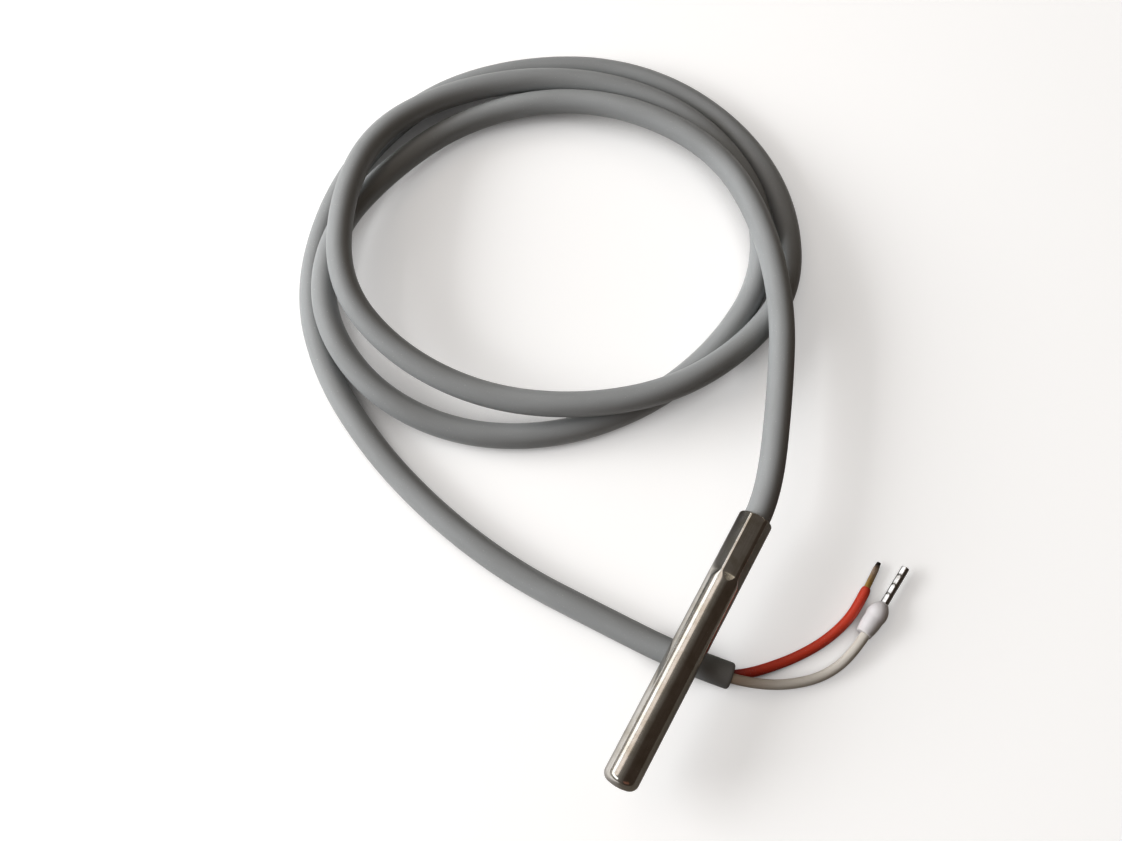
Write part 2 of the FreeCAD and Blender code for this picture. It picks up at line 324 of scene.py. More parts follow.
def smooth_line(name: str, points: Array) -> Array:
    """Points read from the smooth spline whose control points are the given ones.

    Args:
        name: Name for the curve that is read and then removed.
        points: Control points in metres, 3 columns.

    Returns:
        Points along the spline, close together.
    """
    curve = bpy.data.curves.new(name, "CURVE")
    curve.dimensions = "3D"
    curve.resolution_u = SPLINE_STEPS
    spline = curve.splines.new("NURBS")
    spline.points.add(len(points) - 1)
    spline.points.foreach_set("co", np.column_stack([points, np.ones(len(points))]).ravel())
    spline.order_u = SPLINE_ORDER
    spline.use_endpoint_u = True
    holder = linked(name, curve)
    bpy.context.view_layer.update()
    evaluated = holder.evaluated_get(bpy.context.evaluated_depsgraph_get())
    mesh = bpy.data.meshes.new_from_object(evaluated)
    read = np.empty(len(mesh.vertices) * 3, dtype=np.float32)
    mesh.vertices.foreach_get("co", read)
    bpy.data.objects.remove(holder)
    bpy.data.curves.remove(curve)
    bpy.data.meshes.remove(mesh)
    read = read.reshape(-1, 3).astype(float)
    apart = np.linalg.norm(np.diff(read, axis=0), axis=1) > REPEATED
    return read[np.concatenate(([True], apart))]


def last_of(points: Array) -> End:
    """Last point of a route and the direction in which the route reaches it."""
    ahead = points[-1] - points[-2]
    return points[-1], ahead / np.linalg.norm(ahead)


# Finishes


def rgba(colour: object) -> object:
    """A colour with full cover, or a socket as it is."""
    return (*colour, 1.0) if isinstance(colour, tuple) else colour


class Nodes:
    """A node tree whose nodes are added and joined by name."""

    def __init__(self, tree: bpy.types.NodeTree) -> None:
        """Takes the tree as it is."""
        self.tree = tree

    def add(self, kind: str, inputs: dict | None = None, **settings: object) -> bpy.types.Node:
        """Adds a node.

        Args:
            kind: Its type, such as ShaderNodeMath.
            inputs: Socket name or number to a value or to another node's socket.
            **settings: The node's own settings.

        Returns:
            The node.
        """
        node = self.tree.nodes.new(kind)
        for key, value in settings.items():
            setattr(node, key, value)
        for key, value in (inputs or {}).items():
            self.put(node.inputs[key], value)
        return node

    def put(self, socket: Socket, value: object) -> None:
        """Joins a socket to another one, or gives it a plain value.

        Args:
            socket: The input to fill.
            value: Another node's output, or a number, vector or colour.
        """
        if isinstance(value, Socket):
            self.tree.links.new(value, socket)
        else:
            socket.default_value = value

    def maths(self, operation: str, first: object, second: object) -> Socket:
        """Result of one operation on two values."""
        return self.add("ShaderNodeMath", {0: first, 1: second}, operation=operation).outputs[0]

    def part(self, vector: Socket, number: int) -> Socket:
        """One coordinate of a vector: 0, 1 or 2."""
        return self.add("ShaderNodeSeparateXYZ", {0: vector}).outputs[number]

    def ranged(
        self, value: object, low: float, high: float, to_low: float = 0.0, to_high: float = 1.0
    ) -> Socket:
        """Value moved from one range to another and held inside it."""
        ends = {"From Min": low, "From Max": high, "To Min": to_low, "To Max": to_high}
        return self.add("ShaderNodeMapRange", {"Value": value, **ends}).outputs[0]

    def blended(self, share: object, first: object, second: object) -> Socket:
        """Colour between two, by the share of the second."""
        inputs = {0: share, 6: rgba(first), 7: rgba(second)}
        return self.add("ShaderNodeMix", inputs, data_type="RGBA").outputs[2]


class Shader(Nodes):
    """One material's nodes, with patterns in metres on the piece."""

    def __init__(self, name: str) -> None:
        """Starts a material with its principled surface and nothing joined to it."""
        self.material = bpy.data.materials.new(name)
        self.material.use_nodes = True
        super().__init__(self.material.node_tree)
        self.surface = self.tree.nodes["Principled BSDF"]

    def give(self, inputs: dict[str, object]) -> None:
        """Joins or sets the principled surface's inputs."""
        for name, value in inputs.items():
            self.put(self.surface.inputs[name], value)

    def straightened(self) -> Socket:
        """Place on the straightened piece, whose third coordinate runs along it."""
        return self.add("ShaderNodeAttribute", attribute_name=STRAIGHT).outputs["Vector"]

    def drawn(self, stretch: float) -> Socket:
        """Place on the straightened piece, where patterns get 1 / stretch times as long."""
        mapping = {"Vector": self.straightened(), "Scale": (1.0, 1.0, stretch)}
        return self.add("ShaderNodeMapping", mapping).outputs[0]

    def spot(self) -> Socket:
        """Place in the object's own coordinates."""
        return self.add("ShaderNodeTexCoord").outputs["Object"]

    def grain(self, scale: float, detail: float = 3.0, stretch: float = 0.0) -> Socket:
        """Noise with about `scale` features in a metre, drawn out along the piece if asked."""
        where = self.drawn(stretch) if stretch else self.spot()
        pattern = {"Vector": where, "Scale": scale, "Detail": detail, "Roughness": 0.55}
        return self.add("ShaderNodeTexNoise", pattern).outputs[0]

    def bumped(self, height: Socket, distance: float) -> None:
        """Gives the surface relief of the given height in metres."""
        bump = self.add("ShaderNodeBump", {"Height": height, "Distance": distance, "Strength": 1.0})
        self.give({"Normal": bump.outputs[0]})


@dataclass(frozen=True)
class DrawnSteel:
    """Polished steel with fine marks that run along the tube."""

    name: str = "polished_drawn_steel"
    colour: Colour = (0.62, 0.6, 0.57)
    worn: Colour = (0.4, 0.36, 0.28)
    rough_low: float = 0.1
    rough_high: float = 0.22
    smudge_share: float = 0.6
    mark_share: float = 0.45
    mark_scale: float = 3600.0
    patch_scale: float = 420.0
    relief: float = 5.5e-6

    def material(self) -> bpy.types.Material:
        """Builds the material: smudges and marks take it towards the worn colour."""
        shader = Shader(self.name)
        marks = shader.grain(self.mark_scale, 5.0, 0.03)
        broad = shader.grain(self.patch_scale, 2.0, 0.12)
        smudge = shader.grain(self.patch_scale, 5.0)
        tint = shader.ranged(smudge, 0.42, 0.7, 0.0, self.smudge_share)
        tinted = shader.blended(tint, self.colour, self.worn)
        lines = shader.ranged(marks, 0.5, 0.75, 0.0, self.mark_share)
        shader.give({
            "Base Color": shader.blended(lines, tinted, self.worn),
            "Metallic": 1.0,
            "Roughness": shader.ranged(broad, 0.3, 0.75, self.rough_low, self.rough_high),
        })
        shader.bumped(marks, self.relief)
        return shader.material


@dataclass(frozen=True)
class Silicone:
    """Satin extruded silicone rubber, a little uneven and dusty."""

    name: str
    colour: Colour
    shade: Colour
    foot: Colour = WHITE
    foot_length: float = 0.0
    rough: float = 0.46
    dust: Colour = (0.62, 0.62, 0.6)
    dust_share: float = 0.35
    cloud_scale: float = 260.0
    line_scale: float = 2600.0
    speck_scale: float = 5200.0
    fine_scale: float = 9000.0
    relief: float = 5.0e-6

    def material(self) -> bpy.types.Material:
        """Builds the material; the foot is the first stretch of a core, darker towards the cable's
        cut end.
        """
        shader = Shader(self.name)
        cloud = shader.grain(self.cloud_scale, stretch=0.25)
        shading = shader.ranged(cloud, 0.35, 0.7)
        colour = shader.blended(shading, self.colour, self.shade)
        if self.foot_length > 0.0:
            along = shader.part(shader.straightened(), 2)
            # The core's colour runs to the darker foot colour towards the cable's cut end.
            darker_near_cut = shader.ranged(along, 0.0, self.foot_length, 1.0, 0.0)
            colour = shader.blended(darker_near_cut, colour, self.foot)
        specks = shader.grain(self.speck_scale, 1.0)
        dust = shader.ranged(specks, 0.7, 0.78, 0.0, self.dust_share)
        lines = shader.grain(self.line_scale, stretch=0.015)
        fine = shader.grain(self.fine_scale, 2.0)
        shader.give({
            "Base Color": shader.blended(dust, colour, self.dust),
            "Roughness": shader.ranged(cloud, 0.3, 0.75, self.rough - 0.05, self.rough + 0.08),
            "Specular IOR Level": 0.45,
        })
        shader.bumped(shader.maths("ADD", lines, fine), self.relief)
        return shader.material


@dataclass(frozen=True)
class MouldedPlastic:
    """Smooth moulded plastic with a faint grain, and light inside it if it has a depth."""

    name: str
    colour: Colour
    worn: Colour
    rough: float
    depth: float = 0.0
    cloud_scale: float = 480.0
    fine_scale: float = 7000.0
    relief: float = 3.0e-6

    def material(self) -> bpy.types.Material:
        """Builds the material."""
        shader = Shader(self.name)
        cloud = shader.grain(self.cloud_scale, 4.0)
        wear = shader.ranged(cloud, 0.45, 0.75)
        shader.give({
            "Base Color": shader.blended(wear, self.colour, self.worn),
            "Roughness": shader.ranged(cloud, 0.3, 0.7, self.rough - 0.04, self.rough + 0.08),
        })
        if self.depth > 0.0:
            shader.give({
                "Subsurface Weight": 0.8,
                "Subsurface Radius": (1.0, 1.0, 1.0),
                "Subsurface Scale": self.depth,
            })
        shader.bumped(shader.grain(self.fine_scale, 2.0), self.relief)
        return shader.material


@dataclass(frozen=True)
class DullMetal:
    """Tinned or coated metal, rubbed in places; strands are bright at the root, dark at the tip."""

    name: str
    colour: Colour
    worn: Colour
    rough: float
    root: Colour = (0.58, 0.38, 0.12)
    root_to: float = 0.0
    dark_from: float = 0.0
    dark_to: float = 0.0
    dark: Colour = (0.035, 0.03, 0.03)
    patch_scale: float = 900.0
    fine_scale: float = 6000.0
    relief: float = 4.0e-6

    def material(self) -> bpy.types.Material:
        """Builds the material."""
        shader = Shader(self.name)
        patch = shader.grain(self.patch_scale, 4.0)
        wear = shader.ranged(patch, 0.4, 0.65)
        colour = shader.blended(wear, self.colour, self.worn)
        if self.dark_to > 0.0:
            along = shader.part(shader.straightened(), 2)
            near = shader.ranged(along, 0.3 * self.root_to, self.root_to, 1.0, 0.0)
            colour = shader.blended(near, colour, self.root)
            end = shader.ranged(along, self.dark_from, self.dark_to)
            colour = shader.blended(end, colour, self.dark)
        shader.give({
            "Base Color": colour,
            "Metallic": 1.0,
            "Roughness": shader.ranged(patch, 0.3, 0.7, self.rough - 0.06, self.rough + 0.14),
        })
        shader.bumped(shader.grain(self.fine_scale), self.relief)
        return shader.material


class Slot(Enum):
    """Material slots of the record."""

    STEEL = "steel"
    JACKET = "jacket_grey"
    RED = "core_red"
    WHITE = "core_white"
    STRANDS = "strands"
    COLLAR = "collar_white"
    TINNED = "tinned"
    SLEEVE = "sleeve_amber"
    CERAMIC = "ceramic"
    BEAD = "bead_glass"
    COMPOUND = "compound"


FINISHES = {
    Slot.STEEL: DrawnSteel(),
    Slot.JACKET: Silicone("grey_silicone", (0.268, 0.281, 0.288), (0.236, 0.246, 0.25)),
    Slot.RED: Silicone(
        "red_silicone", (0.66, 0.054, 0.023), (0.55, 0.04, 0.018), (0.32, 0.018, 0.012), 7.0 * MM
    ),
    Slot.WHITE: Silicone(
        "white_silicone", (0.69, 0.66, 0.61), (0.61, 0.58, 0.52), (0.4, 0.3, 0.22), 9.0 * MM
    ),
    Slot.STRANDS: DullMetal(
        "tinned_copper_strands", (0.58, 0.46, 0.36), (0.4, 0.31, 0.24), 0.34,
        root_to=3.0 * MM, dark_from=3.8 * MM, dark_to=4.5 * MM,
    ),
    Slot.COLLAR: MouldedPlastic(
        "white_collar_plastic", (0.76, 0.75, 0.78), (0.71, 0.7, 0.72), 0.34, 1.2 * MM
    ),
    Slot.TINNED: DullMetal("tinned_tube", (0.55, 0.55, 0.56), (0.46, 0.45, 0.44), 0.15),
    Slot.SLEEVE: MouldedPlastic("amber_film", (0.5, 0.26, 0.06), (0.42, 0.2, 0.05), 0.25),
    Slot.CERAMIC: MouldedPlastic("white_ceramic", (0.85, 0.85, 0.82), (0.78, 0.78, 0.75), 0.3),
    Slot.BEAD: MouldedPlastic("fired_glass", (0.75, 0.72, 0.6), (0.66, 0.62, 0.5), 0.16),
    Slot.COMPOUND: MouldedPlastic("set_compound", (0.8, 0.8, 0.78), (0.7, 0.7, 0.68), 0.62),
}


class Paints:
    """The part's materials, each one made once."""

    def __init__(self) -> None:
        """Makes each slot's material."""
        self.made = {slot: finish.material() for slot, finish in FINISHES.items()}

    def dress(self, piece: Piece, slot: Slot, *nodes: str) -> Piece:
        """Gives a new piece its material, its body and the nodes that it stands for.

        Args:
            piece: The new piece.
            slot: Its material slot.
            *nodes: Names of the solids that it replaces.

        Returns:
            The piece.
        """
        piece.data.materials.append(self.made[slot])
        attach(piece, "root")
        if nodes:
            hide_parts(*nodes)
        log.info("piece %s: %s faces, finish %s", piece.name, len(piece.data.polygons), slot.value)
        return piece


# Camera


@dataclass(frozen=True)
class View:
    """Camera of the photograph, in millimetres and pixels."""

    place: Place = (-1.39, -17.42, 213.16)
    target: Place = (-38.89, 50.24, -8.5)
    focal_pixels: float = 1300.0
    width: int = 1122
    sensor: float = 36.0
    nearest: float = 0.005
    farthest: float = 20.0

    def make(self) -> None:
        """Makes the camera and sets it as the scene's."""
        data = bpy.data.cameras.new("photo_camera")
        data.sensor_fit, data.sensor_width = "HORIZONTAL", self.sensor
        data.lens = self.focal_pixels * self.sensor / self.width
        data.clip_start, data.clip_end = self.nearest, self.farthest
        camera = linked("photo_camera", data)
        place = Vector(self.place) * MM
        looks = Vector(self.target) * MM - place
        turn = looks.to_track_quat("-Z", "Y").to_matrix().to_4x4()
        camera.matrix_world = Matrix.Translation(place) @ turn
        bpy.context.scene.camera = camera


# Crimp, as the tool's six jaws left it round the sheath and the cable

CRIMP_FACINGS = (-51.5, 3.4, 65.0, 122.0, 183.5, 245.0)


def nearest_flat(angles: Array) -> tuple[Array, Array]:
    """Finds the crimp's flat that faces each angle most.

    Args:
        angles: Angles round the sheath, from up towards side.

    Returns:
        For each angle, how far it is from that flat's facing, and the flat's number.
    """
    gap = angles[:, None] - np.radians(CRIMP_FACINGS)[None, :]
    gap = np.mod(gap + math.pi, FULL_TURN) - math.pi
    flat = np.argmin(np.abs(gap), axis=1)
    return gap[np.arange(len(angles)), flat], flat


# Cable


@dataclass
class Cable:
    """Grey two-core cable: its crimped end, its loose turns and its cut end."""

    diameter: float = 4.6 * MM
    length: float = 0.78
    grip_length: float = 12.0 * MM
    grip_flats: float = 4.4 * MM
    grip_diameter: float = 4.7 * MM
    grip_edge: float = 0.05 * MM
    grip_rows: int = 12
    ease: float = 0.8 * MM
    cut_round: float = 0.6 * MM
    cut_rows: int = 6
    columns: int = 48

    def control(self) -> Array:
        """Control points in the row frame."""
        return (np.array(CABLE_ROUTE) + (0.0, REAR_Y / MM, 0.0)) * MM

    def cut_end(self) -> End:
        """Centre of the cut end and the direction that it faces."""
        return last_of(self.control())

    def mesh(self) -> tuple[Piece, Array]:
        """Builds the jacket as one tube.

        The radius is d/2 outside the sheath. Inside the crimp it is the least of the
        crimp's flats over the cosine and the squeezed radius, eased to d/2 at the rear
        edge. At the cut end the last rows follow a small quarter round to the centre.

        Returns:
            The jacket and the points that it follows from inside the crimp on.
        """
        path = smooth_line("cable_line", self.control())
        inside = np.linspace(-self.grip_length, 0.0, self.grip_rows + 1)[:-1]
        path = np.concatenate([path[0] + inside[:, None] * np.array(BACK), path])
        line = Line.through(path)
        angles = ring(self.columns)
        off, _ = nearest_flat(angles)
        squeezed = np.full(self.columns, self.grip_diameter / 2)
        pressed = soft_least(self.grip_flats / 2 / np.cos(off), squeezed, self.grip_edge)
        eased = (self.grip_length - self.ease - line.along) / self.ease
        held = np.clip(eased, 0.0, 1.0)[:, None]
        radii = held * pressed + (1.0 - held) * (self.diameter / 2)

        opening = np.array([0.0, 0.4, 0.8])
        closing = np.array([0.75, 0.5, 0.25, 0.0])
        turn = np.linspace(0.0, math.pi / 2, self.cut_rows + 1)[1:]
        rim = self.diameter / 2 - self.cut_round * (1.0 - np.cos(turn))
        shrink = np.concatenate([rim, rim[-1] * closing])
        back = np.concatenate([self.cut_round * (np.sin(turn) - 1.0), np.zeros(len(closing))])
        line = line.capped(len(opening), len(line.points) - 1, back)
        cut = np.repeat(shrink[:, None], self.columns, axis=1)
        radii = np.concatenate([radii[0] * opening[:, None], radii[:-1], cut])
        return skin("jacket", [(line, radii)], angles), path


@dataclass
class Core:
    """One insulated core outside the cable, from the cut end to its stripped end."""

    name: str
    slot: Slot
    node: str
    route: list[Place]
    side: int
    diameter: float = 1.75 * MM
    offset: float = 0.95 * MM
    pair_turn: float = 65.0
    sunk: float = 1.2 * MM
    shoulder: float = 0.3 * MM
    shoulder_depth: float = 0.3 * MM
    dish: float = 0.1 * MM
    dish_share: float = 0.6
    end_rows: int = 10
    columns: int = 32

    def control(self, cable: Cable) -> Array:
        """Control points, the first one at the core's place in the cut end.

        Args:
            cable: The cable that it comes out of.

        Returns:
            The points as rows.
        """
        centre, ahead = cable.cut_end()
        across = np.array([-ahead[1], ahead[0], 0.0])
        turn = math.radians(self.pair_turn)
        offset = across * math.cos(turn) - np.array(UP) * math.sin(turn)
        seat = centre + offset * self.side * self.offset
        return np.concatenate([[seat], centre + np.array(self.route) * MM])

    def end(self, cable: Cable) -> End:
        """Where the insulation ends and the direction there."""
        return last_of(self.control(cable))

    def mesh(self, cable: Cable) -> tuple[Piece, Array]:
        """Builds the insulation as a tube that closes in on its strands at the end.

        The end is a quarter of an ellipse, shoulder long and shoulder_depth deep, round a
        face that is dished round the strands.

        Args:
            cable: The cable that it comes out of.

        Returns:
            The core and the points that it follows.
        """
        path = smooth_line(self.name + "_line", self.control(cable))
        first = path[1] - path[0]
        foot = path[0] - first / np.linalg.norm(first) * self.sunk
        path = np.concatenate([[foot], path])
        line = Line.through(path)
        turn = np.linspace(0.0, math.pi / 2, self.end_rows)
        rim = self.diameter / 2 - self.shoulder_depth * (1.0 - np.cos(turn))
        shrink = np.concatenate([rim, [rim[-1] * self.dish_share, 0.0]])
        back = np.concatenate([self.shoulder * (np.sin(turn) - 1.0), [-self.dish, -self.dish]])
        whole = int(np.searchsorted(line.along, line.along[-1] - self.shoulder))
        line = line.capped(1, whole, back)
        line.along[-len(shrink):] += back
        radii = np.concatenate([[0.0], np.full(whole, self.diameter / 2), shrink])[:, None]
        return skin(self.name, [(line, radii)], ring(self.columns)), path


# Wire ends


@dataclass
class Strands:
    """Bundle of twisted strands round a straight axis."""

    name: str
    length: float
    radius: float = 0.475 * MM
    tip_radius: float = 0.375 * MM
    taper: float = 1.4 * MM
    bead: float = 0.0
    bead_stretch: float = 1.25
    bead_rows: int = 12
    outer: int = 11
    inner: int = 5
    inner_depth: float = 2.9
    axis_reach: float = 1e-6
    pitch: float = 7.0 * MM
    rows: int = 60
    columns: int = 10

    def rod(self, end: End, reach: float, phase: float, thick: float) -> tuple[Line, Array]:
        """One strand: a helix of the given reach that closes in over the taper.

        Point(s) = start + s ahead + reach(s) (cos a(s) up + sin a(s) side), with
        a(s) = phase + 2 pi s / pitch.

        Args:
            end: Where the bundle starts, and its direction.
            reach: Distance of the strand's centre from the axis.
            phase: Its angle at the start.
            thick: Its radius.

        Returns:
            The strand's line and radii.
        """
        s = np.linspace(0.0, self.length, self.rows)
        axis = Line.straight(end, s)
        drawn = np.clip((s - self.length + self.taper) / self.taper, 0.0, 1.0)
        scale = 1.0 - drawn * (1.0 - self.tip_radius / self.radius)
        angle = phase + FULL_TURN * s / self.pitch
        swing = np.cos(angle)[:, None] * axis.up + np.sin(angle)[:, None] * axis.side
        line = Line.through(axis.points + (reach * scale)[:, None] * swing)
        line = replace(line, along=s)
        cap, rise = np.array([0.0, 0.7]), np.array([0.35, 0.5])
        radii = thick * scale
        radii = np.concatenate([radii[:1] * cap, radii, radii[-1:] * cap[::-1]])
        return line.capped(len(cap), self.rows, rise * thick), radii[:, None]

    def mesh(self, end: End) -> Piece:
        """Builds the bundle: two layers, one strand on the axis and a drop on the tip.

        The strands are as thick as lets the outer layer close its ring.

        Args:
            end: Where the bundle starts, and its direction.

        Returns:
            One mesh with all the strands.
        """
        thick = self.radius * math.pi / (self.outer + math.pi)
        layers = (
            (self.outer, self.radius - thick, 0.0),
            (self.inner, self.radius - self.inner_depth * thick, 0.5),
            (1, self.axis_reach, 0.0),
        )
        rods = [
            self.rod(end, reach, FULL_TURN * (k + shift) / count, thick)
            for count, reach, shift in layers
            for k in range(count)
        ]
        if self.bead > 0.0:
            turn = np.linspace(0.0, math.pi, self.bead_rows)
            stations = self.length - self.bead - self.bead_stretch * self.bead * np.cos(turn)
            rods.append((Line.straight(end, stations), self.bead * np.sin(turn)[:, None]))
        return skin(self.name, rods, ring(self.columns))


@dataclass
class Ferrule:
    """Wire ferrule on the white core: moulded collar and tinned tube."""

    collar_length: float = 6.4 * MM
    collar_core: float = 2.4 * MM
    rear_diameter: float = 2.75 * MM
    wide_diameter: float = 3.4 * MM
    wide_at: float = 3.2 * MM
    nose_diameter: float = 1.9 * MM
    rear_bow: float = 0.1 * MM
    nose_bow: float = 0.42 * MM
    collar_lean: float = 3.5
    bore: float = 1.85 * MM
    throat: float = 0.4 * MM
    edge: float = 0.12 * MM
    pin_diameter: float = 1.38 * MM
    pin_bore: float = 1.0 * MM
    pin: float = 7.6 * MM
    pin_rows: int = 150
    mouth_round: float = 0.06 * MM
    mouth_flare: float = 0.04 * MM
    root: float = 3.0 * MM
    root_diameter: float = 1.8 * MM
    root_bore: float = 1.5 * MM
    notch_pitch: float = 1.95 * MM
    notch_first: float = 0.85 * MM
    notch_count: int = 4
    notch_half: float = 0.9 * MM
    notch_depth: float = 0.13 * MM
    notch_lean: float = -36.0
    notch_edge: float = 0.02 * MM
    notch_facing: float = 0.2
    columns: int = 64

    @property
    def front(self) -> float:
        """Station of the collar's front from the insulation's end."""
        return self.collar_length - self.collar_core

    def collar(self, end: End) -> Piece:
        """Builds the collar from its profile: bowed rear, bowed nose, and the hole inside.

        It leans a little on its tube, turned about its front end. The hole at its rear
        stays round the core: a circle of the hole's radius that is shift off the axis
        has the radius shift sin a + sqrt(hole^2 - (shift cos a)^2) at the angle a.

        Args:
            end: The end of the core's insulation, and the core's direction there.

        Returns:
            The collar.
        """
        rear, front, edge = -self.collar_core, self.front, self.edge
        seat = front - self.root
        rim, wide, nose = self.rear_diameter / 2, self.wide_diameter / 2, self.nose_diameter / 2
        hole = self.bore / 2
        widest = (wide, rear + self.wide_at)
        rear_edge = quarter((rim - edge, rear + edge), edge, 0.0, 90.0, 6)
        outside = np.concatenate([
            rear_edge,
            bow((rim, rear + edge), widest, self.rear_bow, 16)[1:],
            bow(widest, (nose, front - edge), self.nose_bow, 22)[1:],
            quarter((nose - edge, front - edge), edge, 90.0, 180.0, 6)[1:],
        ])
        seats = [(self.pin_diameter / 2, front), (self.root_diameter / 2, seat)]
        inside = np.array([*seats, (hole, seat - self.throat), (hole, rear + edge)])
        closing = quarter((hole + edge, rear + edge), edge, -90.0, 0.0, 5)
        profile = np.concatenate([outside, inside, closing, rear_edge[:1]])

        start, ahead = end
        lean = Matrix.Rotation(-math.radians(self.collar_lean), 3, "Z")
        leaned = np.array(lean @ Vector(ahead))
        pivot = start + ahead * front
        line = Line.straight((pivot - leaned * front, leaned), profile[:, 1])
        angles = ring(self.columns)
        shift = (front - profile[:, 1:]) * math.sin(math.radians(self.collar_lean))
        apart = shift * np.cos(angles)[None, :]
        off_axis = shift * np.sin(angles)[None, :] + np.sqrt(hole**2 - apart**2)
        row = np.arange(len(profile))
        mouth = len(outside) + len(seats)
        in_hole = ((row >= mouth) & (row < len(profile) - 1))[:, None]
        radii = np.where(in_hole, off_axis + profile[:, :1] - hole, profile[:, :1])
        return skin("collar", [(line, radii)], angles)

    def tube(self, end: End) -> Piece:
        """Builds the tube, whose outside is the least of its round wall and the marks.

        A mark is a flat across the tube. At s from its middle the flat stands
        r - depth sqrt(1 - (s / half)^6) from the axis, over cos(angle - lean).

        Args:
            end: The end of the core's insulation, and the core's direction there.

        Returns:
            The tube.
        """
        front, mouth, back = self.front, self.front + self.pin, self.front - self.root
        radius, bore, root_bore = self.pin_diameter / 2, self.pin_bore / 2, self.root_bore / 2
        lip = self.mouth_round
        s = np.linspace(front, mouth - lip, self.pin_rows)
        outside = np.concatenate([
            [(root_bore, back), (self.root_diameter / 2, back)],
            np.column_stack([np.full(len(s), radius), s]),
            quarter((radius - lip, mouth - lip), lip, 90.0, 180.0, 5)[1:],
        ])
        flare = self.mouth_flare
        inside = [(bore + flare, mouth), (bore, mouth - flare), (bore, front), (root_bore, back)]
        profile = np.concatenate([outside, inside])
        angles = ring(self.columns)
        station = profile[:, 1]
        far = NO_FLAT * radius
        floor = np.full(len(station), far)
        for index in range(self.notch_count):
            off = station - (front + self.notch_first + index * self.notch_pitch)
            swell = np.sqrt(np.maximum(1.0 - (off / self.notch_half) ** 6, 0.0))
            inside_mark = np.abs(off) < self.notch_half
            floor = np.where(inside_mark, radius - self.notch_depth * swell, floor)
        facing = np.cos(angles - math.radians(self.notch_lean))
        reached = floor[:, None] / np.maximum(facing, self.notch_facing)
        cut = np.where(facing > self.notch_facing, reached, far)
        wall = np.broadcast_to(profile[:, :1], cut.shape)
        pressed = soft_least(wall, cut, self.notch_edge)
        outer = (np.arange(len(profile)) < len(outside))[:, None] & (station > front)[:, None]
        radii = np.where(outer, pressed, wall)
        return skin("ferrule_pin", [(Line.straight(end, station), radii)], angles)


# Sheath


